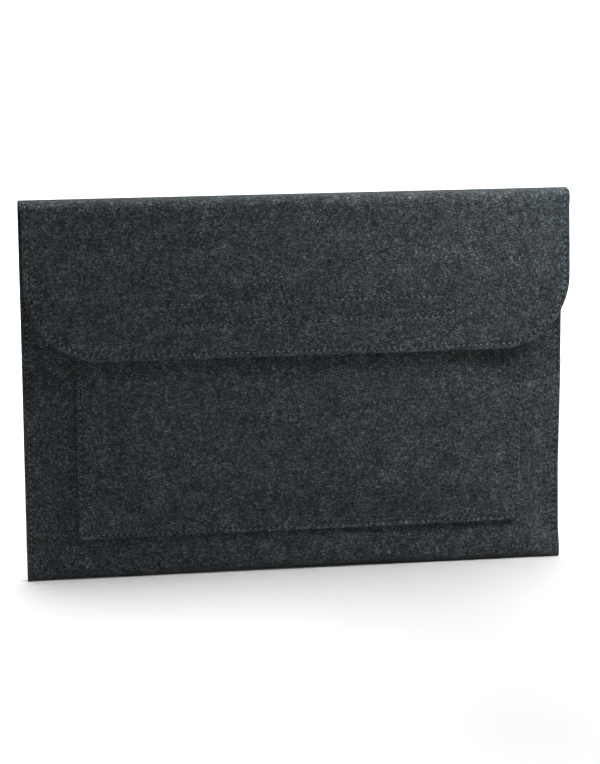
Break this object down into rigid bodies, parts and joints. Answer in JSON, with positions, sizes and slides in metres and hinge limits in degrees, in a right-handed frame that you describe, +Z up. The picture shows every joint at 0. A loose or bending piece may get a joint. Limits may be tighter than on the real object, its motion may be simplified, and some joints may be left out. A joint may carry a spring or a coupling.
{
  "type": "laptop sleeve",
  "caption": "Envelope sleeve of folded felt for a laptop, with a patch pocket on the front and a full-width flap with round corners that closes with hook-and-loop tape.",
  "frame": {"origin": "centre of the bounding box in X and Y, at the bottom of the folded edge it stands on", "axes": "+X to the right seen from the flap's side, along the long edge; +Y to the back; +Z up; the flap faces -Y"},
  "size_m": [0.37, 0.0318, 0.26],
  "materials": {
    "felt": "pressed charcoal melange polyester felt, 2.5 mm thick, matt, soft fibre surface",
    "loop_tape": "black woven tape with a soft loop pile",
    "hook_tape": "black woven tape with rows of small stiff hooks",
    "thread": "grey twisted polyester sewing thread"
  },
  "bodies": {
    "sleeve_body": {"back_panel": "felt", "bottom_fold": "felt", "front_panel": "felt", "front_pocket": "felt", "loop_strip": "loop_tape", "side_seam_left": "thread", "side_seam_left_bobbin": "thread", "side_seam_right": "thread", "side_seam_right_bobbin": "thread", "pocket_seam": "thread", "pocket_seam_bobbin": "thread", "pocket_mouth_stitch": "thread", "pocket_mouth_bobbin": "thread", "front_mouth_stitch": "thread", "front_mouth_bobbin": "thread", "loop_strip_stitch": "thread", "loop_strip_bobbin": "thread"},
    "top_fold": {"top_fold": "felt"},
    "flap": {"flap_panel": "felt", "hook_strip": "hook_tape", "flap_topstitch": "thread", "flap_topstitch_bobbin": "thread", "hook_strip_stitch": "thread", "hook_strip_bobbin": "thread"}
  },
  "joints": [
    {"name": "rear_crease", "type": "hinge", "parent": "sleeve_body", "child": "top_fold", "pos_m": [0, 0.01261, 0.25746], "axis": [-1, 0, 0], "range_deg": [0, 90]},
    {"name": "front_crease", "type": "hinge", "parent": "top_fold", "child": "flap", "pos_m": [0, -0.00322, 0.25772], "axis": [-1, 0, 0], "range_deg": [0, 90]}
  ]
}
